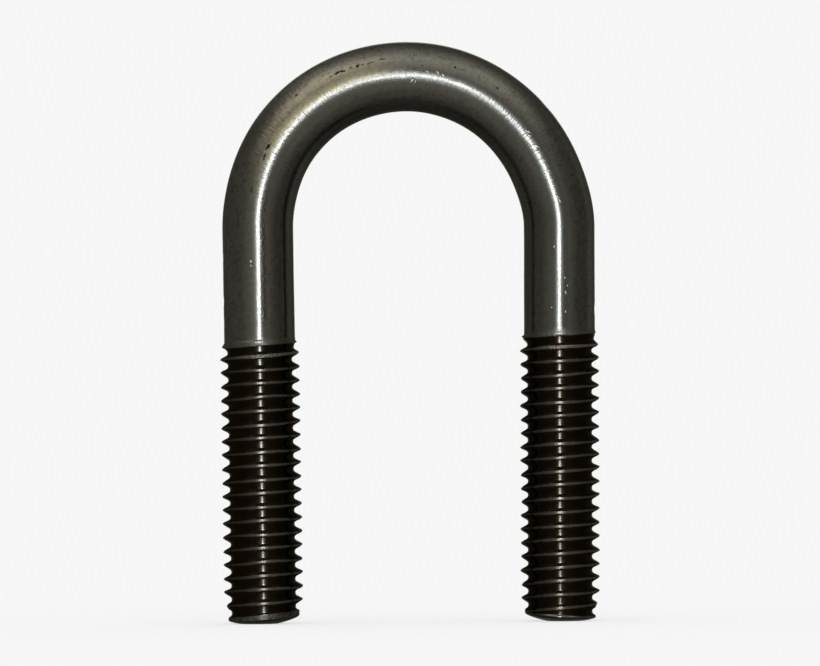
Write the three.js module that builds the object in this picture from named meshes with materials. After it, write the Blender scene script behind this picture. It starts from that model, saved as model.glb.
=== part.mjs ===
// U-bolt: one round steel rod, bent into a U, with a right-hand thread rolled on both legs.
//
// Millimetres, +Z up. The legs point down and end on the plane z = 0, the bow is on top, X runs across
// the legs and Y runs through the opening. The origin is midway between the two leg ends.
//
// The whole bolt is one closed skin. It follows a single centre line from the end of the left leg, over
// the bow and down to the end of the right leg. A place on the skin is named by its station, which is
// the distance along that centre line, and by its turn, which is the fraction of a circle round it.

import * as THREE from 'three';
import { LoftGeometry } from 'three/addons/geometries/LoftGeometry.js';
import { mergeVertices } from 'three/addons/utils/BufferGeometryUtils.js';

// Rod and bend
const ROD_DIAMETER = 8.15; // the plain rod, before the thread is rolled on it
const OVERALL_HEIGHT = 67.2; // from the leg ends to the top of the bow
const LEG_SPACING = 34.9; // between the centre lines of the legs where they meet the bow
const TIP_SPACING = 34.3; // the same at the leg ends, because the legs close in slightly
const BOW_THINNING = 0.01; // share of its thickness that the rod loses over the top of the bend

// Sheared leg ends: a round flat on the ground plane, and a shoulder that rises from it to the rod's side.
// The shear drags the flat towards the outer side of the leg, so the shoulder is highest on the inner side.
const FLAT_RADIUS = 2.2;
const FLAT_OFFSET = 0.6; // of the flat's centre from the leg's centre line, outwards
const SHOULDER_OUTER = 0.4; // height of the shoulder on the outer side of the leg
const SHOULDER_INNER = 0.95; // and on its inner side
const SHOULDER_SLOPE = 0.6; // share of that height that is an even slope; the rest is the rounded rim

// Thread: 3/8-16 form, rolled on a slightly thin rod, so that its crests stay a little under full size
const THREAD_PITCH = 1.5875; // 16 turns to the 25.4 mm inch
const THREAD_MAJOR = 9.25; // across the crests
const THREAD_MINOR = 7.33; // across the roots
const CREST_SHARPNESS = 1.6; // 1 makes crests and roots equally wide, and more makes the crests narrower
const RUNOUT_TURNS = 1.2; // turns in which the thread grows to its full height at each of its ends

// Each leg has a plain tip, then its turns of thread. firstCrest is how far the first crest lies past the
// start of the thread, in turns, on the outer side of the leg. Along the centre line the left thread
// starts at its tip, and the right thread starts at the shank.
const LEFT_LEG = { plainTip: 1.3, turns: 19.75, firstCrest: 0.45 };
const RIGHT_LEG = { plainTip: 1.1, turns: 20.1, firstCrest: 0.6 };

// Fineness of the skin
const SIDES = 20; // columns round the rod
const STEPS_PER_TURN = 5; // rows to each turn of thread
const BOW_STEPS = 36; // rows over the bow
const SHOULDER_STEPS = 3; // rows over the rounded shoulder of a leg end

const ROD_RADIUS = ROD_DIAMETER / 2;
const BOW_RADIUS = LEG_SPACING / 2; // of the centre line
const CROWN_RADIUS = ROD_RADIUS * (1 - BOW_THINNING); // half the rod's thickness at the top of the bow
const BOW_HEIGHT = OVERALL_HEIGHT - BOW_RADIUS - CROWN_RADIUS; // of the bow's centre, where the legs end
const BOW_LENGTH = Math.PI * BOW_RADIUS;
const TOTAL_LENGTH = 2 * BOW_HEIGHT + BOW_LENGTH;

// The last column lies on the first one, and closes the skin round the rod.
const COLUMNS = Array.from({ length: SIDES + 1 }, (_, column) => column);

const STEEL = new THREE.MeshStandardMaterial({ color: '#4a4840', roughness: 0.38, metalness: 1 });

const { clamp, euclideanModulo, lerp, smoothstep } = THREE.MathUtils;

// The centre line at a station: its point, the direction away from the middle of the U, and how far round
// the bow it is, from 0 on the left leg to pi on the right leg. Sections of the legs are level.
function centreLine(station) {
  const height = Math.min(station, TOTAL_LENGTH - station, BOW_HEIGHT);
  const bend = clamp((station - BOW_HEIGHT) / BOW_RADIUS, 0, Math.PI);
  const reach = lerp(TIP_SPACING, LEG_SPACING, height / BOW_HEIGHT) / 2;
  const outward = new THREE.Vector3(-Math.cos(bend), 0, Math.sin(bend));
  const point = outward.clone().multiplyScalar(reach);
  point.z += height;
  return { point, outward, bend };
}

// Angle of a column round the rod, from the outer side of the U.
function angleOf(column) {
  return (2 * Math.PI * (column % SIDES)) / SIDES;
}

// One place on the skin. The rod is round on the legs and slightly flattened across the bow.
function skinPoint(station, column, radius) {
  const { point, outward, bend } = centreLine(station);
  const angle = angleOf(column);
  const flattened = 1 - BOW_THINNING * Math.sin(bend);
  point.addScaledVector(outward, radius * flattened * Math.cos(angle));
  point.y -= radius * Math.sin(angle);
  return point;
}

// Radius of the full thread at a phase of its turn, with the crest at 0 and the root at 0.5.
function threadRadius(phase) {
  const height = ((1 + Math.cos(2 * Math.PI * phase)) / 2) ** CREST_SHARPNESS;
  return lerp(THREAD_MINOR, THREAD_MAJOR, height) / 2;
}

// The threaded stretch from one station to another. Its rows climb one pitch in each turn, so every row
// stays on one line of the thread: the end of a row meets the start of the row one turn further on.
// Rows are held inside the stretch, which makes its two ends level rings.
function threadRows(start, { turns, firstCrest }) {
  const end = start + turns * THREAD_PITCH;
  const runout = RUNOUT_TURNS * THREAD_PITCH;
  const rows = [];
  for (let step = -STEPS_PER_TURN; step <= (turns + 1) * STEPS_PER_TURN; step += 1) {
    const fullRadius = threadRadius(euclideanModulo(step, STEPS_PER_TURN) / STEPS_PER_TURN);
    rows.push(COLUMNS.map((column) => {
      const parts = step * SIDES + (column - SIDES) * STEPS_PER_TURN; // of STEPS_PER_TURN * SIDES a turn
      const turn = parts / (STEPS_PER_TURN * SIDES) + firstCrest;
      const station = clamp(start + turn * THREAD_PITCH, start, end);
      const growth = smoothstep(station, start, start + runout);
      const decline = smoothstep(station, end - runout, end);
      return skinPoint(station, column, lerp(ROD_RADIUS, fullRadius, growth * (1 - decline)));
    }));
  }
  return rows;
}

function bowRows() {
  return Array.from({ length: BOW_STEPS + 1 }, (_, step) => {
    const station = BOW_HEIGHT + (BOW_LENGTH * step) / BOW_STEPS;
    return COLUMNS.map((column) => skinPoint(station, column, ROD_RADIUS));
  });
}

// The rows that close a leg end, from the middle of its flat, over the rounded shoulder and out to the
// side of the rod. stationAt gives the station at a height above the ground plane on that leg.
function endRows(stationAt) {
  const shift = centreLine(stationAt(0)).outward.multiplyScalar(FLAT_OFFSET);
  const flatPoint = (column, radius) => skinPoint(stationAt(0), column, radius).add(shift);
  const rows = [COLUMNS.map((column) => flatPoint(column, 0))];
  for (let step = 0; step <= SHOULDER_STEPS; step += 1) {
    const rounding = (Math.PI / 2) * (step / SHOULDER_STEPS);
    rows.push(COLUMNS.map((column) => {
      const inwards = (1 - Math.cos(angleOf(column))) / 2;
      const height = lerp(SHOULDER_OUTER, SHOULDER_INNER, inwards);
      const point = flatPoint(column, FLAT_RADIUS);
      point.lerp(skinPoint(stationAt(height), column, ROD_RADIUS), Math.sin(rounding));
      point.z = height * lerp(1 - Math.cos(rounding), Math.sin(rounding), SHOULDER_SLOPE);
      return point;
    }));
  }
  return rows;
}

// Rows held at the end of a stretch lie on each other, and leave triangles with no area.
function withoutCollapsedTriangles(geometry) {
  const kept = [];
  const index = geometry.getIndex();
  for (let corner = 0; corner < index.count; corner += 3) {
    const [a, b, c] = [0, 1, 2].map((step) => index.getX(corner + step));
    if (a !== b && b !== c && c !== a) kept.push(a, b, c);
  }
  geometry.setIndex(kept);
  return geometry;
}

function boltGeometry() {
  const rightThreadStart = TOTAL_LENGTH - RIGHT_LEG.plainTip - RIGHT_LEG.turns * THREAD_PITCH;
  const skin = new LoftGeometry([
    ...endRows((height) => height),
    ...threadRows(LEFT_LEG.plainTip, LEFT_LEG),
    ...bowRows(),
    ...threadRows(rightThreadStart, RIGHT_LEG),
    ...endRows((height) => TOTAL_LENGTH - height).reverse(),
  ], { closed: false });
  const bare = new THREE.BufferGeometry();
  bare.setAttribute('position', skin.getAttribute('position'));
  bare.setIndex(skin.getIndex());
  const solid = withoutCollapsedTriangles(mergeVertices(bare));
  solid.computeVertexNormals();
  return solid;
}

const bolt = new THREE.Mesh(boltGeometry(), STEEL);
bolt.name = 'u_bolt';

const part = new THREE.Group();
part.add(bolt);

export default part;
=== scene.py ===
"""Looks of the U-bolt: a fine steel skin in place of the CAD node, its material, and a plain studio.

Metres, +Z up, in the frame of the CAD model. Lengths are written in millimetres and carry the factor MM.
The skin follows one centre line, from the end of the left leg over the bow to the end of the right leg. A
place on it has a station, the distance along that line, and an angle round the rod: 0 on the outer side of
the U, a quarter turn on the front and half a turn on the inner side. On the bow it also has a bend, the
angle along the bow from the left shank (0) to the right one (pi).
"""

import math

import bmesh
import bpy
import numpy as np
from mathutils import Matrix, Vector, noise


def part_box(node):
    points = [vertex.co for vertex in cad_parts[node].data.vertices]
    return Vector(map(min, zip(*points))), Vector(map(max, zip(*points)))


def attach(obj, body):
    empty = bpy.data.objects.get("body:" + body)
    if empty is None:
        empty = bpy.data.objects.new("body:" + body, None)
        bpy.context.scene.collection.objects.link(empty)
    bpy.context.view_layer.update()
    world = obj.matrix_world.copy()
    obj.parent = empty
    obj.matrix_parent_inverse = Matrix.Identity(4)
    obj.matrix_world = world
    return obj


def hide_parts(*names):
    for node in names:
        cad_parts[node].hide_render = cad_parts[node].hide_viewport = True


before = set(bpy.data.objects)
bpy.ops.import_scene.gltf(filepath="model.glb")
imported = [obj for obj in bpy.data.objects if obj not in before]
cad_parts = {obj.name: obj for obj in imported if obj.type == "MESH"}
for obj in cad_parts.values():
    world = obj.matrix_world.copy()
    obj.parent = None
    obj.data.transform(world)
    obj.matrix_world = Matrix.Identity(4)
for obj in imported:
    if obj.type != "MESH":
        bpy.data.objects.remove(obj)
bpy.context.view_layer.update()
low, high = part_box("u_bolt")

MM = 0.001

# Sizes that the frame gives
OVERALL_HEIGHT = high.z - low.z
THREAD_MAJOR = high.y - low.y

# Rod and bend
ROD_RADIUS = 8.15 * MM / 2
LEG_SPACING = 34.9 * MM
TIP_SPACING = 34.3 * MM
BOW_THINNING = 0.01
BOW_RADIUS = LEG_SPACING / 2
BOW_HEIGHT = OVERALL_HEIGHT - BOW_RADIUS - ROD_RADIUS * (1 - BOW_THINNING)
TOTAL_LENGTH = 2 * BOW_HEIGHT + math.pi * BOW_RADIUS
BOW_DRIFT = (0.185 * MM, 0.265 * MM)  # the bend is this much too wide on the left, too tight on the right
OVALITY = 0.045 * MM  # bending turns the round section slightly oval, leaning the other way on each side
LEG_SWELL = 0.035 * MM  # the legs stay this much fuller than the stretched bow
WAVES = 0.02 * MM  # slight waves that drawing and bending leave in the rod

# Thread
PITCH = 1.5875 * MM
MAJOR_RADIUS = THREAD_MAJOR / 2
MINOR_RADIUS = 7.45 * MM / 2
SHARPNESS = (1.25, 1.9)  # 1 makes crests and roots equally wide, and more makes the crests narrower
LEAN = 0.07  # how far a crest leans along the leg, as a share of the pitch
OIL_FILM = (0.13, 0.22, 0.60, 0.69)  # part of the pitch under a crest where oil rounds off the groove
GROOVE_HIGHLIGHT_SPAN = (0.08, 0.60, 0.64, 0.71)  # the same part, for the highlight painted into the grooves' colour, strongest towards its lower end
GROOVE_HIGHLIGHT_FRONT = (79, 85, 95, 101)  # degrees round the rod, on its front, where that highlight is painted into the grooves' colour
THIN_FILM = 0.8  # how far oil smooths the thread outside the grooves
FLARE_FILM = 0.85  # how far it smooths the shank over the lip
TIP_RUNOUT = 0.3 * MM  # over which the groove deepens at the leg's end
CREST_FILL = (1.0 * MM, 3.4 * MM)  # heights above the leg's end between which the crests fill up
LIP_HEIGHT = (0.10 * MM, 0.22 * MM)  # on the outer and the inner side of the leg
LIP_WIDTH = 0.10 * MM
LIP_FRONT = 0.8  # share of its height that the lip loses on the front and the back of the leg
LIP_EDGE_WAVE = 0.06 * MM
LIP_EDGE_BLUR = 0.10 * MM
DARK_EDGE_WAVE = 0.08 * MM
DARK_EDGE_BLUR = 0.06 * MM
GREY_BLUR = 0.10 * MM  # over which the grey of the leg's end gives way to the oily thread
FLARE_LENGTH = 1.1 * MM  # dull stretch of the shank over the lip
CREST_HALF_WIDTH = (0.06, 0.12)  # parts of the pitch on either side of a crest that keep a full film

# How many knots the random curves of a thread have in one turn, and how many they have in all
LEAN_KNOTS = 7
SHARP_KNOTS = 9
RAGGED_KNOTS = 14
DARK_EDGE_KNOTS = 5
LIP_EDGE_KNOTS = 20
OIL_KNOTS = 2.3
ALL_KNOTS = 400

# Sheared leg ends
FLAT_RADIUS = 2.2 * MM
FLAT_OFFSET = 0.6 * MM
SHOULDER_OUTER = 0.35 * MM
SHOULDER_INNER = 0.95 * MM
SHOULDER_SLOPE = 0.6

# The two threads. Heights are above the leg's end, and a pair gives the leg's outer and inner side.
#   crest: height of one crest on the outer side
#   ragged: how far the crests stay under their full height
#   groove_end: where the last groove begins
#   dark_end: where the oily thread begins
#   lip: where the thread meets the shank
#   root_fade, crest_fade: lowest and highest height where roots and crests die away into the shank
#   top: end of the stretch that is built as thread
#   end_grey: how clean of oil the leg's end is
#   highlight_patchiness: how unevenly the painted highlight in the grooves spreads
LEFT_THREAD = {
    "crest": 2.014 * MM,
    "ragged": (0.06 * MM, 0.04 * MM),
    "groove_end": (0.37 * MM, 1.16 * MM),
    "dark_end": (0.69 * MM, 1.55 * MM),
    "lip": (31.88 * MM, 32.50 * MM),
    "root_fade": (31.0 * MM, 32.8 * MM),
    "crest_fade": (30.8 * MM, 33.3 * MM),
    "top": 34.2 * MM,
    "end_grey": 1.0,
    "highlight_patchiness": 0.25,
    "seed": 11,
}
RIGHT_THREAD = {
    "crest": 0.307 * MM,
    "ragged": (0.06 * MM, 0.17 * MM),
    "groove_end": (SHOULDER_OUTER, SHOULDER_INNER),
    "dark_end": (0.45 * MM, 1.0 * MM),
    "lip": (33.30 * MM, 32.86 * MM),
    "root_fade": (31.7 * MM, 33.3 * MM),
    "crest_fade": (31.2 * MM, 33.8 * MM),
    "top": 34.8 * MM,
    "end_grey": 0.15,
    "highlight_patchiness": 0.65,
    "seed": 23,
}

# Dents in the plain rod: station, angle in degrees, radius, depth
DENTS = (
    (37.4 * MM, 2, 0.50 * MM, 0.17 * MM),
    (42.4 * MM, 6, 0.50 * MM, 0.07 * MM),
    (34.9 * MM, 4, 0.40 * MM, 0.06 * MM),
    (110.2 * MM, 3, 0.60 * MM, 0.07 * MM),
    (88.0 * MM, 5, 0.50 * MM, 0.06 * MM),
)

# Fineness of the skin
SIDES = 72
ROWS_PER_TURN = 22
PLAIN_STEP = 0.35 * MM
SHOULDER_STEPS = 8
FLAT_RINGS = 4
WELD_DISTANCE = 1e-6

COLUMNS = np.arange(SIDES + 1)
ANGLES = 2 * math.pi * (COLUMNS % SIDES) / SIDES
INWARDS = (1 - np.cos(ANGLES)) / 2  # 0 on the outer side of the U, 1 on the inner side


def lerp(a, b, t):
    return a + (b - a) * t


def smoothstep(value, start, end):
    t = np.clip((value - start) / (end - start), 0, 1)
    return t * t * (3 - 2 * t)


def window(value, start, full, fall, end):
    """0 outside start to end, 1 from full to fall."""
    return smoothstep(value, start, full) * (1 - smoothstep(value, fall, end))


def bell(value, width):
    return np.exp(-((value / width) ** 2))


def wander(seed, knots):
    """A smooth random curve from -1 to 1 over 0 to knots."""
    heights = np.random.default_rng(seed).uniform(-1, 1, knots + 2)

    def at(place):
        place = np.clip(place, 0, knots)
        first = place.astype(int)
        return lerp(heights[first], heights[first + 1], smoothstep(place - first, 0, 1))

    return at


def centre_line(station):
    """Point of the rod's centre line, direction away from the middle of the U, and bend."""
    height = np.minimum(np.minimum(station, TOTAL_LENGTH - station), BOW_HEIGHT)
    bend = np.clip((station - BOW_HEIGHT) / BOW_RADIUS, 0, math.pi)
    degrees = np.degrees(bend)
    reach = lerp(TIP_SPACING, LEG_SPACING, height / BOW_HEIGHT) / 2
    reach = reach + BOW_DRIFT[0] * window(degrees, 8, 40, 48, 92)
    reach = reach - BOW_DRIFT[1] * window(degrees, 84, 150, 158, 180)
    outward = np.stack([-np.cos(bend), np.zeros_like(bend), np.sin(bend)], axis=-1)
    point = outward * reach[..., None]
    point[..., 2] += height
    return point, outward, bend


def skin_points(station, angle, radius):
    point, outward, bend = centre_line(station)
    across = radius * (1 - BOW_THINNING * np.sin(bend)) * np.cos(angle)
    point = point + outward * across[..., None]
    point[..., 1] -= radius * np.sin(angle)
    return point


def film_normal(station, angle):
    """Normal of the oil that rounds off the grooves: straight out of the rod and slightly upwards."""
    upwards = 0.022
    normal = centre_line(station)[1] * np.cos(angle)[..., None]
    normal[..., 1] -= np.sin(angle)
    normal[..., 2] += upwards
    return normal


def warm_stain(angle, bend):
    """Tan film on the front of the left shank and of the left half of the bow, beside the middle line."""
    degrees = np.degrees(angle)
    round_rod = np.maximum(window(degrees, 66, 76, 80, 88), 0.35 * window(degrees, 45, 60, 76, 80))
    place = np.degrees(bend)
    along = lerp(0.18, 1.0, smoothstep(place, 5, 35)) * (1 - smoothstep(place, 70, 92))
    along = along + 0.3 * window(place, 22, 34, 46, 58)
    return round_rod * along


def pitted_strip(angle, station):
    """Small pits on the left shank, just past its front."""
    along = window(station, 33.5 * MM, 36 * MM, 47 * MM, 52 * MM)
    return window(np.degrees(angle), 94, 96.5, 101, 105) * along


class Rows:
    """Rows of the skin, with what the material reads at each point.

    rod_space: millimetres, with Z along the rod, X to the outer side of the U and Y to the front
    film_normal: normal of the oil film
    thread, crest: 1 on the thread, and 1 on its crests
    flare, burr: the dull shank over the lip, and the rough edges of the lip and of the first crest
    cut: the sheared end of a leg
    bend, stain, pitted: the bow, the tan film and the pitted strip
    film: how far the normal of the oil takes the place of the skin's own
    wet: painted highlight, a lighter colour on the front of the grooves where the key's light falls
    """

    NAMES = (
        "rod_space", "film_normal", "thread", "crest", "flare", "burr", "cut",
        "bend", "stain", "pitted", "film", "wet",
    )

    def __init__(self):
        self.points = []
        self.values = {name: [] for name in self.NAMES}

    def add(self, station, radius, points=None, **given):
        station = np.broadcast_to(station, ANGLES.shape)
        bend = centre_line(station)[2]
        around = ROD_RADIUS * np.stack([np.cos(ANGLES), np.sin(ANGLES)], axis=-1)
        given["rod_space"] = np.column_stack([around, station]) / MM
        given["film_normal"] = film_normal(station, ANGLES)
        given["bend"] = np.sin(bend)
        given["stain"] = warm_stain(ANGLES, bend)
        given["pitted"] = pitted_strip(ANGLES, station)
        for name, rows in self.values.items():
            value = given.get(name, 0.0)
            rows.append(value if np.ndim(value) == 2 else np.broadcast_to(value, ANGLES.shape))
        self.points.append(skin_points(station, ANGLES, radius) if points is None else points)

    def reverse(self):
        self.points.reverse()
        for rows in self.values.values():
            rows.reverse()
        return self

    def extend(self, other):
        self.points += other.points
        for name, rows in self.values.items():
            rows += other.values[name]


def plain_radius(station, angle):
    """Radius of the plain rod, with its waves, its ovality on the bow and its dents."""
    bend = centre_line(station)[2]
    places = zip(np.cos(angle) * 0.9, np.sin(angle) * 0.9, station / MM * 0.16)
    radius = ROD_RADIUS + WAVES * np.array([noise.noise(Vector(place)) for place in places])
    radius = radius + OVALITY * np.sin(2 * bend) * np.sin(2 * angle) + LEG_SWELL * np.cos(bend) ** 2
    for dent_station, dent_angle, size, depth in DENTS:
        turn = (angle - math.radians(dent_angle) + math.pi) % (2 * math.pi) - math.pi
        distance = np.hypot(station - dent_station, ROD_RADIUS * turn) / size
        radius = radius - depth * np.exp(-(distance**2) * 2)
    return radius


def shoulder_height():
    """Height of the sheared shoulder's rim, round the leg."""
    return lerp(SHOULDER_OUTER, SHOULDER_INNER, INWARDS**2)


class Thread:
    """The threaded stretch of a leg, whose stations come from heights through station_at.

    Each row stays on one line of the thread and climbs one pitch in a turn, and is held inside the stretch.
    """

    def __init__(self, leg, station_at):
        self.leg = leg
        self.station_at = station_at
        self.direction = 1 if station_at(MM) > station_at(0) else -1
        self.first_crest = station_at(leg["crest"])
        ends = [station_at(shoulder_height()), station_at(leg["top"] + 0 * ANGLES)]
        self.start, self.end = sorted(ends, key=lambda end: end[0])
        self.first_turn = math.floor((self.start.min() - self.first_crest) / PITCH)
        self.last_turn = math.ceil((self.end.max() - self.first_crest) / PITCH)
        seeds = [leg["seed"] + kind for kind in range(3)]
        self.ragged, self.leaning, self.sharp = (wander(seed, ALL_KNOTS) for seed in seeds)

    def side(self, name):
        """A pair of the leg's values, from its outer to its inner side."""
        return lerp(*self.leg[name], INWARDS)

    def rows(self):
        rows = Rows()
        for turn in range(self.first_turn, self.last_turn + 1):
            for step in range(ROWS_PER_TURN):
                self.add_row(rows, turn, step / ROWS_PER_TURN - 0.5)
        return rows

    def add_row(self, rows, turn, phase):
        coil = turn + COLUMNS / SIDES
        place = coil - self.first_turn
        sharpness = lerp(*SHARPNESS, 0.5 + 0.5 * self.sharp(place * SHARP_KNOTS))
        crest = ((1 + math.cos(2 * math.pi * phase)) / 2) ** sharpness
        lean = LEAN * self.leaning(place * LEAN_KNOTS) * crest**2
        station = self.first_crest + (coil + phase + lean) * PITCH
        station = np.clip(station, self.start, self.end)
        height = self.station_at(station)
        looks = self.looks(height, crest, phase, place)
        rows.add(station, self.radius(station, height, crest, place), **looks)

    def radius(self, station, height, crest, place):
        full = lerp(MINOR_RADIUS, MAJOR_RADIUS, crest)
        full = full - self.side("ragged") * (0.5 + 0.5 * self.ragged(place * RAGGED_KNOTS)) * crest**2
        plain = plain_radius(station, ANGLES)
        groove = self.side("groove_end")
        roots = smoothstep(height, groove, groove + TIP_RUNOUT)
        roots = roots * (1 - smoothstep(height, *self.leg["root_fade"]))
        crests = smoothstep(height, *CREST_FILL)
        crests = crests * (1 - smoothstep(height, *self.leg["crest_fade"]))
        ridge = lerp(*LIP_HEIGHT, INWARDS**2) * (1 - LIP_FRONT * np.abs(np.sin(ANGLES)))
        ridge = ridge * bell(height - self.side("lip") - LIP_WIDTH, LIP_WIDTH)
        return plain + (full - plain) * np.where(full < plain, roots, crests) + ridge

    def looks(self, height, crest, phase, place):
        lip = self.side("lip")
        edge = lip + LIP_EDGE_WAVE * self.leaning(place * LIP_EDGE_KNOTS)
        dark = self.side("dark_end") + DARK_EDGE_WAVE * self.ragged(place * DARK_EDGE_KNOTS)
        thread = smoothstep(height, dark - DARK_EDGE_BLUR, dark + DARK_EDGE_BLUR)
        thread = thread * (1 - smoothstep(height, edge - LIP_EDGE_BLUR, edge))
        flare = smoothstep(height, lip - LIP_EDGE_BLUR, lip)
        flare = flare * (1 - smoothstep(height, lip, lip + FLARE_LENGTH))
        first_turn = 1 - smoothstep(np.abs(height - lip + 0.75 * PITCH), 0.5 * PITCH, 0.9 * PITCH)
        burr = np.maximum(bell(height - lip, 1.5 * LIP_WIDTH), first_turn * crest)
        cut = self.leg["end_grey"] * (1 - smoothstep(height, dark, dark + GREY_BLUR))
        below_crest = (-phase * self.direction) % 1
        on_crest = 1 - smoothstep(abs(phase), *CREST_HALF_WIDTH)
        film = lerp(THIN_FILM, 1.0, max(window(below_crest, *OIL_FILM), on_crest)) * thread
        film = np.maximum(film, FLARE_FILM * flare)
        # painted highlight: a lighter groove colour on the front, spread unevenly along the thread
        uneven_highlight = lerp(1.0, 0.5 + 0.5 * self.sharp(place * OIL_KNOTS), self.leg["highlight_patchiness"])
        wet = window(below_crest, *GROOVE_HIGHLIGHT_SPAN) * uneven_highlight * window(np.degrees(ANGLES), *GROOVE_HIGHLIGHT_FRONT) * thread
        return {
            "thread": thread,
            "crest": crest,
            "flare": flare,
            "burr": burr,
            "cut": cut,
            "film": film,
            "wet": wet,
        }


def plain_rows(start, end):
    rows = Rows()
    count = math.ceil((end - start) / PLAIN_STEP)
    for step in range(1, count):
        station = np.full(SIDES + 1, lerp(start, end, step / count))
        rows.add(station, plain_radius(station, ANGLES))
    return rows


def end_rows(station_at, grey):
    """From the middle of a leg end's flat, over the sloping shoulder, to the side of the rod."""
    rows = Rows()
    foot = station_at(0 * ANGLES)
    shift = centre_line(foot)[1] * FLAT_OFFSET
    for ring in range(FLAT_RINGS):
        radius = FLAT_RADIUS * ring / FLAT_RINGS
        rows.add(foot, radius, cut=grey, thread=1 - grey, points=skin_points(foot, ANGLES, radius) + shift)
    height = shoulder_height()
    inner = skin_points(foot, ANGLES, FLAT_RADIUS) + shift
    outer = skin_points(station_at(height), ANGLES, ROD_RADIUS)
    for step in range(SHOULDER_STEPS + 1):
        rounding = math.pi / 2 * step / SHOULDER_STEPS
        points = lerp(inner, outer, math.sin(rounding))
        points[:, 2] = height * lerp(1 - math.cos(rounding), math.sin(rounding), SHOULDER_SLOPE)
        rows.add(station_at(points[:, 2]), ROD_RADIUS, cut=grey, thread=1 - grey, points=points)
    return rows


def up_the_left_leg(height):
    return height


def up_the_right_leg(height):
    return TOTAL_LENGTH - height


def bolt_rows():
    rows = end_rows(up_the_left_leg, LEFT_THREAD["end_grey"])
    rows.extend(Thread(LEFT_THREAD, up_the_left_leg).rows())
    rows.extend(plain_rows(LEFT_THREAD["top"], up_the_right_leg(RIGHT_THREAD["top"])))
    rows.extend(Thread(RIGHT_THREAD, up_the_right_leg).rows())
    rows.extend(end_rows(up_the_right_leg, RIGHT_THREAD["end_grey"]).reverse())
    return rows


def row_faces(row_count):
    """Four-sided faces between each row and the next."""
    width = SIDES + 1
    first = (np.arange(row_count - 1)[:, None] * width + np.arange(SIDES)).ravel()
    return np.stack([first, first + 1, first + width + 1, first + width], axis=-1)


def bolt_object():
    rows = bolt_rows()
    mesh = bpy.data.meshes.new("u_bolt_skin")
    mesh.from_pydata(np.concatenate(rows.points).tolist(), [], row_faces(len(rows.points)).tolist())
    for name, values in rows.values.items():
        values = np.concatenate(values)
        is_vector = values.ndim == 2
        attribute = mesh.attributes.new(name, "FLOAT_VECTOR" if is_vector else "FLOAT", "POINT")
        attribute.data.foreach_set("vector" if is_vector else "value", values.astype(np.float32).ravel())
    work = bmesh.new()
    work.from_mesh(mesh)
    bmesh.ops.remove_doubles(work, verts=work.verts, dist=WELD_DISTANCE)
    bmesh.ops.recalc_face_normals(work, faces=work.faces)
    work.to_mesh(mesh)
    work.free()
    mesh.shade_smooth()
    bolt = bpy.data.objects.new("u_bolt_skin", mesh)
    bpy.context.scene.collection.objects.link(bolt)
    return bolt


def colour(red, green, blue):
    return (red, green, blue, 1.0)


def grey(level):
    return colour(level, level, level)


class Nodes:
    """Adds nodes to one tree. An input may be a value or another node's output."""

    def __init__(self, tree):
        self.tree = tree
        tree.nodes.clear()

    def add(self, kind, inputs=None, **settings):
        node = self.tree.nodes.new("ShaderNode" + kind)
        for name, value in settings.items():
            setattr(node, name, value)
        for name, value in (inputs or {}).items():
            self.set(node.inputs[name], value)
        return node

    def set(self, socket, value):
        if isinstance(value, bpy.types.NodeSocket):
            self.tree.links.new(value, socket)
        else:
            socket.default_value = value

    def fill(self, sockets, values):
        for socket, value in zip(sockets, values):
            self.set(socket, value)

    def attribute(self, name, output="Fac"):
        return self.add("Attribute", attribute_name=name).outputs[output]

    def math(self, operation, *values):
        node = self.add("Math", operation=operation)
        self.fill(node.inputs, values)
        return node.outputs[0]

    def product(self, *values):
        result = values[0]
        for value in values[1:]:
            result = self.math("MULTIPLY", result, value)
        return result

    def total(self, *values):
        result = values[0]
        for value in values[1:]:
            result = self.math("ADD", result, value)
        return result

    def centred(self, value):
        """A noise with its middle moved from 0.5 to 0."""
        return self.math("SUBTRACT", value, 0.5)

    def inverse(self, value):
        return self.math("SUBTRACT", 1.0, value)

    def either(self, *values):
        result = values[0]
        for value in values[1:]:
            result = self.math("MAXIMUM", result, value)
        return result

    def vector(self, operation, *values):
        node = self.add("VectorMath", operation=operation)
        self.fill(node.inputs, values)
        return node.outputs["Value" if operation in ("LENGTH", "DOT_PRODUCT") else "Vector"]

    def scaled(self, vector, factor):
        inputs = {"Vector": vector, "Scale": factor}
        return self.add("VectorMath", inputs, operation="SCALE").outputs["Vector"]

    def noise(self, vector, scale=1.0, detail=2.0, roughness=0.5, output="Fac"):
        inputs = {"Vector": vector, "Scale": scale, "Detail": detail, "Roughness": roughness}
        return self.add("TexNoise", inputs).outputs[output]

    def stretched_noise(self, vector, scales, detail=2.0, roughness=0.5):
        return self.noise(self.vector("MULTIPLY", vector, scales), detail=detail, roughness=roughness)

    def span(self, value, start, end, low=0.0, high=1.0, smooth=True):
        kind = "SMOOTHSTEP" if smooth else "LINEAR"
        inputs = {"Value": value, "From Min": start, "From Max": end, "To Min": low, "To Max": high}
        return self.add("MapRange", inputs, interpolation_type=kind).outputs["Result"]

    def mix(self, factor, a, b):
        node = self.add("Mix", data_type="RGBA")
        self.fill((node.inputs["Factor"], node.inputs[6], node.inputs[7]), (factor, a, b))
        return node.outputs[2]

    def mix_vectors(self, factor, a, b):
        node = self.add("Mix", data_type="VECTOR")
        self.fill((node.inputs["Factor"], node.inputs[4], node.inputs[5]), (factor, a, b))
        return node.outputs[1]

    def blend(self, factor, a, b):
        node = self.add("Mix", data_type="FLOAT")
        self.fill((node.inputs["Factor"], node.inputs[2], node.inputs[3]), (factor, a, b))
        return node.outputs[0]

    def ramp(self, value, stops):
        """A curve through (place, level) stops, with places from 0 to 1 and levels up to 1."""
        node = self.add("ValToRGB", {"Fac": value})
        node.color_ramp.interpolation = "EASE"
        elements = node.color_ramp.elements
        elements.remove(elements[1])
        elements[0].position, elements[0].color = stops[0][0], grey(stops[0][1])
        for place, level in stops[1:]:
            elements.new(place).color = grey(level)
        return node.outputs["Color"]


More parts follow.
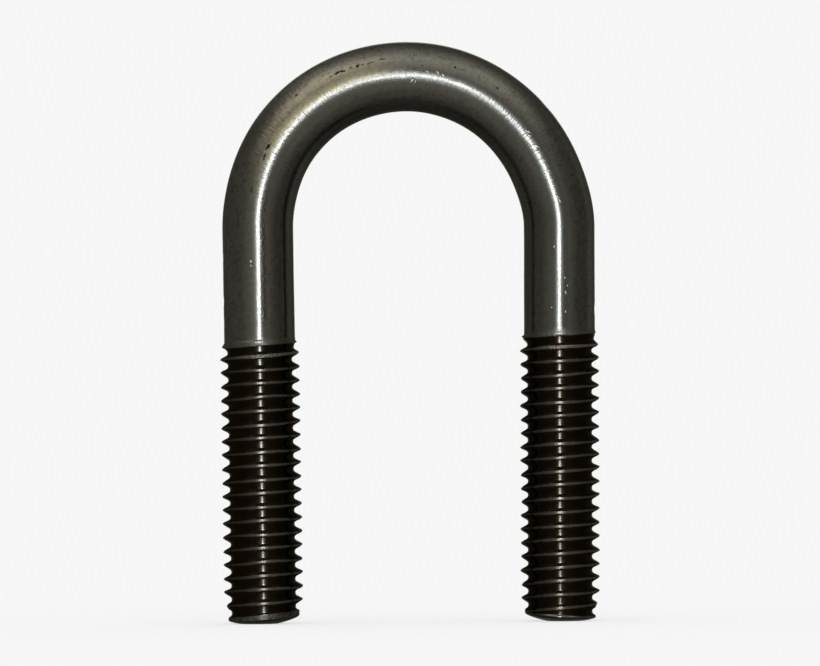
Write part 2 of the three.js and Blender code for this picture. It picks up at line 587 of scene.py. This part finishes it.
# Colours of the plain rod
OLIVE = colour(0.130, 0.127, 0.104)
WARM_OLIVE = colour(0.145, 0.138, 0.106)
COOL_STREAK = colour(0.112, 0.113, 0.103)
BROWN_BLOTCH = colour(0.118, 0.104, 0.086)
DARK_MOTTLE = colour(0.062, 0.057, 0.047)
PALE_GRAIN = colour(0.165, 0.160, 0.140)
# painted shade: the inner side of the U, which faces the other leg
INNER_SIDE_SHADE = colour(0.065, 0.061, 0.051)
TAN_FILM = colour(0.275, 0.243, 0.150)
DULL_FLARE = colour(0.108, 0.104, 0.086)
DARK_PITTING = colour(0.045, 0.042, 0.035)
RUST_BROWN = colour(0.050, 0.037, 0.025)
# painted shade: darkens a strip on the front of the right half, which dims the highlight there
FRONT_SHADE_PAINT = colour(0.070, 0.070, 0.064)

# Colours of the thread, of the sheared ends and of the marks
BLACK_ROOT = colour(0.0125, 0.0088, 0.0055)
BROWN_ROOT = colour(0.0170, 0.0103, 0.0054)
# painted highlight: the lighter groove colour where the key's light falls on the front of the grooves
GROOVE_HIGHLIGHT_PAINT = colour(0.031, 0.0298, 0.0248)
BROWN_FLANK = colour(0.016, 0.0125, 0.0080)
BLACK_FLANK = colour(0.012, 0.0085, 0.0050)
# painted shade for the inner side of the thread
INNER_THREAD_SHADE = colour(0.006, 0.005, 0.004)
RUBBED_CREST = colour(0.118, 0.110, 0.088)
BARE_BURR = colour(0.180, 0.172, 0.145)
SHEARED_GREY = colour(0.100, 0.097, 0.084)
SHEARED_DARK = colour(0.050, 0.045, 0.037)
PIT_BLACK = colour(0.012, 0.009, 0.006)
NICK_BRIGHT = colour(0.62, 0.60, 0.55)

# Roughness of the steel
ROUGH_DRAWN = (0.20, 0.24)
ROUGH_BOW = 0.085  # what the bow adds
SMOOTH_RIGHT = 0.045  # what the right of each leg's front lacks
ROUGH_STAIN = 0.34
ROUGH_DULL = 0.42  # over the lip and on the sheared ends
ROUGH_BURR = 0.23
ROUGH_CREST = 0.26
SMOOTH_OIL = 0.15
ROUGH_MARK = 0.45


def on_bow(bend):
    """Station of a place on the bow, in millimetres, from its bend in degrees."""
    return (BOW_HEIGHT + BOW_RADIUS * math.radians(bend)) / MM


def right_leg(height):
    """Station of a height on the right leg, both in millimetres."""
    return TOTAL_LENGTH / MM - height


# Marks of handling: station in mm, angle in degrees, length along the rod and width in mm, slant in degrees
PITS = (
    (on_bow(65.6), 60, 0.55, 0.26, 20),
    (on_bow(67.6), 61, 0.60, 0.24, -25),
    (on_bow(70.6), 60, 0.26, 0.16, 0),
    (on_bow(73.0), 61, 0.50, 0.24, 30),
    (on_bow(74.8), 61, 0.28, 0.14, 0),
    (on_bow(50.1), 55, 0.22, 0.16, 0),
    (on_bow(45.4), 50, 0.20, 0.12, 0),
    (on_bow(30.2), 75, 0.95, 0.30, -12),
    (on_bow(106.8), 63, 0.22, 0.22, 0),
    (on_bow(123.3), 64, 0.24, 0.18, 0),
)
RUST = (
    (on_bow(77.6), 61, 0.9, 0.22, 10),
    (on_bow(81.6), 58, 0.7, 0.20, -10),
    (on_bow(63.4), 61, 0.4, 0.20, 0),
    (on_bow(26.4), 77, 0.9, 0.26, 8),
    (on_bow(14.0), 74, 0.8, 0.20, 0),
    (on_bow(169.0), 136, 0.3, 0.30, 0),
)
NICKS = (
    (32.58, 85.3, 0.22, 0.20, 0),
    (32.62, 88.6, 0.26, 0.24, 0),
    (32.60, 91.8, 0.24, 0.24, 0),
    (32.66, 95.1, 0.20, 0.18, 0),
    (41.95, 79, 0.30, 0.24, 0),
    (41.45, 79, 0.26, 0.14, 0),
    (on_bow(92.0), 97, 0.60, 0.16, 50),
    (on_bow(93.2), 99, 0.40, 0.14, 80),
    (on_bow(97.5), 81, 0.40, 0.12, -30),
    (on_bow(101.4), 80, 0.50, 0.16, -40),
    (on_bow(103.4), 82, 0.46, 0.14, -40),
    (on_bow(141.8), 84, 0.75, 0.13, 30),
    (on_bow(143.4), 86, 0.50, 0.12, 35),
    (on_bow(148.2), 86, 0.70, 0.13, 28),
    (on_bow(150.4), 88, 0.40, 0.12, 30),
    (on_bow(158.6), 87, 0.40, 0.12, 30),
    (on_bow(169.0), 87, 0.60, 0.12, 25),
    (on_bow(170.6), 85, 0.50, 0.12, 25),
    (right_leg(33.28), 96.0, 0.20, 0.18, 0),
    (right_leg(33.26), 93.4, 0.22, 0.20, 0),
    (right_leg(33.28), 90.4, 0.26, 0.24, 0),
    (right_leg(33.30), 87.6, 0.22, 0.20, 0),
    (right_leg(43.3), 99, 0.30, 0.14, -30),
    (right_leg(39.7), 82, 0.22, 0.14, 0),
    (right_leg(38.8), 78, 0.20, 0.12, 0),
    (right_leg(38.0), 81, 0.40, 0.14, 20),
    (right_leg(36.3), 103, 0.20, 0.14, 0),
    (right_leg(35.8), 81, 0.30, 0.14, 0),
)


def marks(nodes, rod, places):
    """1 inside the marks of a list and 0 outside them."""
    radius = ROD_RADIUS / MM
    result = 0.0
    for station, angle, length, width, slant in places:
        turn = math.radians(angle)
        node = nodes.add("Mapping", {
            "Vector": rod,
            "Location": (radius * math.cos(turn), radius * math.sin(turn), station),
            "Rotation": (math.radians(slant), 0.0, turn),
            "Scale": (1.0, width / 2, length / 2),
        }, vector_type="TEXTURE")
        inside = nodes.span(nodes.vector("LENGTH", node.outputs[0]), 1.3, 0.6)
        result = nodes.either(result, inside)
    return result


class Surface:
    """What the steel's nodes read at a place on the skin, and the noises that they share."""

    def __init__(self, nodes):
        self.rod = nodes.attribute("rod_space", "Vector")
        self.side, self.forward, station = nodes.add("SeparateXYZ", {"Vector": self.rod}).outputs
        self.thread = nodes.attribute("thread")
        self.flare = nodes.attribute("flare")
        self.burr = nodes.attribute("burr")
        self.cut = nodes.attribute("cut")
        self.bend = nodes.attribute("bend")
        self.stain = nodes.attribute("stain")
        self.pitted = nodes.attribute("pitted")
        self.crest = nodes.attribute("crest")

        middle = TOTAL_LENGTH / 2 / MM
        self.right_half = nodes.span(station, middle - 1, middle + 1)
        direction = nodes.span(self.right_half, 0.0, 1.0, -1.0, 1.0)
        self.rightward = nodes.product(self.side, direction)  # millimetres right of the rod's front

        self.streaks = nodes.stretched_noise(self.rod, (3.0, 3.0, 0.12), detail=4, roughness=0.6)
        self.mottle = nodes.noise(self.rod, scale=2.0, detail=4, roughness=0.7)
        self.grain = nodes.noise(self.rod, scale=4.5, detail=3, roughness=0.65)
        self.beside_highlight = nodes.stretched_noise(self.rod, (2.2, 2.2, 3.0), detail=3)
        self.worn = self.worn_crests(nodes)
        self.add_marks(nodes)

    def worn_crests(self, nodes):
        """1 where the crests are rubbed bare, in a line that gets narrower towards the sides of the leg."""
        ragged = nodes.span(self.grain, 0.3, 0.7, -0.05, 0.05)
        worn = nodes.total(self.crest, nodes.product(self.burr, 0.04), ragged)
        worn = nodes.total(worn, nodes.product(nodes.math("ABSOLUTE", self.side), -0.03))
        return nodes.span(worn, 0.74, 0.92)

    def add_marks(self, nodes):
        wobble = nodes.noise(self.rod, scale=5.0, output="Color")
        wobble = nodes.vector("SUBTRACT", wobble, (0.5, 0.5, 0.5))
        frayed = nodes.vector("ADD", self.rod, nodes.vector("MULTIPLY", wobble, (0.35, 0.35, 0.35)))
        self.pits = marks(nodes, frayed, PITS)
        self.rust = marks(nodes, frayed, RUST)
        self.nicks = marks(nodes, self.rod, NICKS)
        self.pits_and_nicks = nodes.either(self.pits, self.nicks)


def plain_colour(nodes, at):
    """Satin olive grey of the plain rod, with its stains and its rust, and painted shade on its inner side
    and along the front of its right half.
    """
    patches = nodes.stretched_noise(at.rod, (0.35, 0.35, 0.12), detail=3)
    blotches = nodes.stretched_noise(at.rod, (1.1, 1.1, 0.6), detail=3, roughness=0.6)
    specks = nodes.span(nodes.noise(at.rod, scale=1.9, detail=1), 0.74, 0.78)
    front = nodes.span(at.forward, 3.5, 3.9)

    steel = nodes.mix(nodes.span(patches, 0.35, 0.65), OLIVE, WARM_OLIVE)
    steel = nodes.mix(nodes.span(at.streaks, 0.3, 0.7), steel, COOL_STREAK)
    steel = nodes.mix(nodes.span(blotches, 0.50, 0.66, 0, 0.6), steel, BROWN_BLOTCH)
    mottled = nodes.span(at.mottle, 0.46, 0.68, 0, nodes.blend(front, 0.75, 0.35))
    steel = nodes.mix(mottled, steel, DARK_MOTTLE)
    steel = nodes.mix(nodes.span(at.grain, 0.58, 0.72, 0, 0.5), steel, PALE_GRAIN)
    # painted shade: the plain rod darkened towards the inner side of the U
    steel = nodes.mix(nodes.span(at.side, -0.8, -3.9, 0, 0.42), steel, INNER_SIDE_SHADE)

    tan = nodes.product(at.stain, nodes.span(at.mottle, 0.60, 0.42, 0.5, 0.85))
    steel = nodes.mix(tan, steel, TAN_FILM)
    dull = nodes.product(at.flare, nodes.span(at.mottle, 0.35, 0.6, 0.2, 0.8))
    steel = nodes.mix(dull, steel, DULL_FLARE)
    pitting = nodes.product(at.pitted, nodes.span(at.beside_highlight, 0.36, 0.52, 0.3, 0.9))
    steel = nodes.mix(pitting, steel, DARK_PITTING)
    steel = nodes.mix(nodes.either(nodes.product(specks, 0.7), at.rust), steel, RUST_BROWN)
    # painted shade: a darker strip along the front of the right half dims the highlight there
    front_shade = nodes.product(at.right_half, nodes.span(at.forward, 3.92, 4.02), 0.38)
    return nodes.mix(front_shade, steel, FRONT_SHADE_PAINT)


def thread_colour(nodes, at):
    """Oily brown-black grooves and crests rubbed bare. Painted shade darkens the inner side of the thread,
    and the bare crests are painted darker left of each leg's front and lighter right of it.
    """
    oil = nodes.stretched_noise(at.rod, (0.8, 0.8, 0.5), detail=3)
    root = nodes.mix(nodes.span(oil, 0.35, 0.65), BLACK_ROOT, BROWN_ROOT)
    # painted highlight: the grooves' colour made lighter on their front, where the key's light falls
    root = nodes.mix(nodes.attribute("wet"), root, GROOVE_HIGHLIGHT_PAINT)
    flank = nodes.mix(nodes.span(at.mottle, 0.35, 0.65), BROWN_FLANK, BLACK_FLANK)
    oily = nodes.mix(nodes.span(at.crest, 0.25, 0.55), root, flank)
    # painted shade: the thread darkened towards the inner side of the U
    oily = nodes.mix(nodes.span(at.side, -0.8, -3.6, 0, 0.5), oily, INNER_THREAD_SHADE)
    bare = nodes.mix(at.burr, RUBBED_CREST, BARE_BURR)
    # painted shade and light: bare crests darker left of each leg's front and lighter right of it
    shade_left_of_front = nodes.span(at.rightward, -3.4, -1.0, 0.50, 0.62)
    light_right_of_front = nodes.span(at.rightward, 0.4, 2.2, 1.0, 1.55)
    return nodes.mix(at.worn, oily, nodes.scaled(bare, nodes.product(shade_left_of_front, light_right_of_front)))


def steel_colour(nodes, at):
    base = nodes.mix(at.thread, plain_colour(nodes, at), thread_colour(nodes, at))
    sheared = nodes.mix(nodes.span(at.mottle, 0.40, 0.62), SHEARED_GREY, SHEARED_DARK)
    base = nodes.mix(at.cut, base, sheared)
    base = nodes.mix(at.pits, base, PIT_BLACK)
    return nodes.mix(at.nicks, base, NICK_BRIGHT)


def steel_roughness(nodes, at):
    drawn = nodes.span(at.streaks, 0.3, 0.7, *ROUGH_DRAWN)
    plain = nodes.total(drawn, nodes.product(at.bend, ROUGH_BOW))
    plain = nodes.math("SUBTRACT", plain, nodes.span(at.rightward, -0.25, 0.15, 0.0, SMOOTH_RIGHT))
    plain = nodes.blend(at.stain, plain, ROUGH_STAIN)
    plain = nodes.blend(at.flare, plain, ROUGH_DULL)
    plain = nodes.blend(at.burr, plain, ROUGH_BURR)
    crests = nodes.blend(at.burr, ROUGH_CREST, ROUGH_BURR)
    threaded = nodes.blend(at.worn, SMOOTH_OIL, crests)
    roughness = nodes.blend(at.thread, plain, threaded)
    roughness = nodes.blend(at.cut, roughness, ROUGH_DULL)
    return nodes.blend(at.pits_and_nicks, roughness, ROUGH_MARK)


def steel_normal(nodes, at):
    """The skin's normal, smoothed by the oil film, with drawing lines, wrinkles, dimples and marks."""
    own = nodes.add("NewGeometry").outputs["Normal"]
    smoothed = nodes.mix_vectors(nodes.attribute("film"), own, nodes.attribute("film_normal", "Vector"))
    lines = nodes.stretched_noise(at.rod, (7.0, 7.0, 0.25), detail=3)
    wrinkles = nodes.stretched_noise(at.rod, (0.9, 0.9, 4.2), detail=3)
    dimples = nodes.noise(at.rod, scale=2.6, detail=4, roughness=0.6)
    matte = nodes.either(at.flare, at.cut, nodes.product(at.thread, at.worn))
    relief = nodes.total(
        nodes.product(lines, 0.003),
        nodes.product(wrinkles, nodes.span(at.bend, 0.0, 0.5, 0.003, 0.026)),
        nodes.product(dimples, nodes.span(matte, 0.0, 1.0, 0.003, 0.013)),
        nodes.product(nodes.centred(at.grain), at.burr, 0.09),
        nodes.product(nodes.centred(at.beside_highlight), at.pitted, 0.045),
        nodes.product(at.pits_and_nicks, -0.05),
    )
    under_oil = nodes.product(at.thread, nodes.inverse(at.worn))
    bump = nodes.add("Bump", {
        "Strength": 1.0,
        "Distance": MM,
        "Height": nodes.product(relief, nodes.inverse(under_oil)),
        "Normal": nodes.vector("NORMALIZE", smoothed),
    })
    return bump.outputs["Normal"]


def steel_material():
    material = bpy.data.materials.new("dark_drawn_steel")
    material.use_nodes = True
    nodes = Nodes(material.node_tree)
    at = Surface(nodes)
    shader = nodes.add("BsdfPrincipled", {
        "Base Color": steel_colour(nodes, at),
        "Metallic": 1.0,
        "Specular Tint": colour(0.55, 0.55, 0.52),
        "Roughness": steel_roughness(nodes, at),
        "Normal": steel_normal(nodes, at),
    })
    nodes.add("OutputMaterial", {"Surface": shader.outputs["BSDF"]})
    return material


def studio_floor():
    half = 30.0
    mesh = bpy.data.meshes.new("floor")
    corners = [(-half, -half, 0), (half, -half, 0), (half, half, 0), (-half, half, 0)]
    mesh.from_pydata(corners, [], [(0, 1, 2, 3)])
    material = bpy.data.materials.new("pale_floor")
    material.use_nodes = True
    shader = material.node_tree.nodes["Principled BSDF"]
    shader.inputs["Base Color"].default_value = grey(0.3)
    shader.inputs["Roughness"].default_value = 1.0
    shader.inputs["Specular IOR Level"].default_value = 0.0
    shader.inputs["Emission Color"].default_value = grey(1)
    shader.inputs["Emission Strength"].default_value = 0.648
    mesh.materials.append(material)
    floor = bpy.data.objects.new("floor", mesh)
    floor.visible_glossy = False
    bpy.context.scene.collection.objects.link(floor)


# Brightness of the room in the steel's mirror. ROOM_ROUND goes by the angle round the X axis in degrees: 0
# is straight to the front, 90 overhead and -90 down. ROOM_ACROSS is a factor that goes by the X of the
# direction.
ROOM_ROUND = (
    (-180, 0.24), (-120, 0.13), (-90, 0.16), (-54, 0.36), (-28, 0.53), (0, 0.42), (25, 0.47),
    (45, 1.20), (62, 1.48), (75, 1.35), (90, 0.84), (112, 0.38), (140, 0.24), (180, 0.24),
)
ROOM_ACROSS = (
    (-1.0, 0.30), (-0.85, 0.45), (-0.70, 1.0), (-0.50, 1.75), (-0.28, 1.30), (0.0, 1.0), (0.50, 1.0),
    (0.72, 0.60), (0.90, 0.30), (1.0, 0.25),
)
ROOM_PEAK = 1.8
ROOM_PALE = 0.925  # brightness of the room as the camera and the floor see it


def mirrored_room(nodes):
    """Brightness of the room in the steel's mirror.

    It is dim, with a wide soft box overhead in front and a small bright one behind.
    """
    direction = nodes.add("TexCoord").outputs["Generated"]
    parts = nodes.add("SeparateXYZ", {"Vector": direction}).outputs
    turn = nodes.math("ARCTAN2", parts["Z"], nodes.product(parts["Y"], -1.0))
    turn = nodes.span(turn, -math.pi, math.pi, smooth=False)
    profile = nodes.ramp(turn, [((angle + 180) / 360, level / ROOM_PEAK) for angle, level in ROOM_ROUND])
    across = nodes.span(parts["X"], -1.0, 1.0, smooth=False)
    factor = nodes.ramp(across, [((place + 1) / 2, level / ROOM_PEAK) for place, level in ROOM_ACROSS])
    overhead = nodes.span(parts["Z"], 0.1, 0.5)
    level = nodes.product(profile, ROOM_PEAK, nodes.blend(overhead, 1.0, nodes.product(factor, ROOM_PEAK)))
    back_right = nodes.product(nodes.span(parts["Y"], 0.1, 0.5), nodes.span(parts["X"], 0.2, 0.8))
    side = nodes.total(nodes.span(parts["X"], -1.0, 1.0, 0.25, 0.20), nodes.product(back_right, 0.16))
    level = nodes.blend(nodes.span(nodes.math("ABSOLUTE", parts["X"]), 0.45, 0.95), level, side)
    behind = nodes.vector("DOT_PRODUCT", nodes.vector("NORMALIZE", direction), (0.0, 0.985, 0.174))
    return nodes.total(level, nodes.span(behind, 0.955, 0.985, 0.0, 1.6))


def studio_world():
    """An even pale room, which the steel mirrors as a dimmer one."""
    world = bpy.data.worlds.new("studio")
    world.use_nodes = True
    bpy.context.scene.world = world
    nodes = Nodes(world.node_tree)
    mirrored = nodes.add("Background", {"Color": colour(1.0, 0.98, 0.92), "Strength": mirrored_room(nodes)})
    pale = nodes.add("Background", {"Color": grey(1), "Strength": ROOM_PALE})
    in_mirror = nodes.add("LightPath").outputs["Is Glossy Ray"]
    both = nodes.add("MixShader")
    nodes.fill(both.inputs, (in_mirror, pale.outputs[0], mirrored.outputs[0]))
    nodes.add("OutputWorld", {"Surface": both.outputs[0]})


def studio_key():
    """A small soft box in front, which only the steel mirrors."""
    width, height = 0.10, 0.30
    radiance = 72
    middle = Vector((0, 0, OVERALL_HEIGHT / 2))
    data = bpy.data.lights.new("key", "AREA")
    data.shape = "ELLIPSE"
    data.size, data.size_y = width, height
    data.color = (0.95, 1.0, 1.11)
    data.energy = radiance * math.pi * (math.pi / 4 * width * height)
    lamp = bpy.data.objects.new("key", data)
    lamp.location = middle + Vector((0, -1.3, 0.13))
    lamp.rotation_euler = (middle - lamp.location).to_track_quat("-Z", "Y").to_euler()
    lamp.visible_camera = False
    lamp.visible_diffuse = False
    bpy.context.scene.collection.objects.link(lamp)


def studio_camera():
    distance = 1.1
    seen_width = 94.95 * MM
    roll = math.radians(0.55)
    aim = Vector((0.06 * MM, 0, 33.48 * MM))
    data = bpy.data.cameras.new("camera")
    data.sensor_width = 36.0
    data.lens = data.sensor_width * distance / seen_width
    data.clip_start = 0.05
    data.clip_end = 100.0
    camera = bpy.data.objects.new("camera", data)
    place = Matrix.Translation(aim + Vector((0, -distance, 0)))
    level = Matrix.Rotation(math.pi / 2, 4, "X")
    camera.matrix_world = place @ level @ Matrix.Rotation(-roll, 4, "Z")
    bpy.context.scene.collection.objects.link(camera)
    bpy.context.scene.camera = camera


studio_camera()
studio_floor()
studio_world()
studio_key()
bpy.context.scene.view_settings.view_transform = "Standard"

bolt = bolt_object()
bolt.data.materials.append(steel_material())
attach(bolt, "root")
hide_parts("u_bolt")
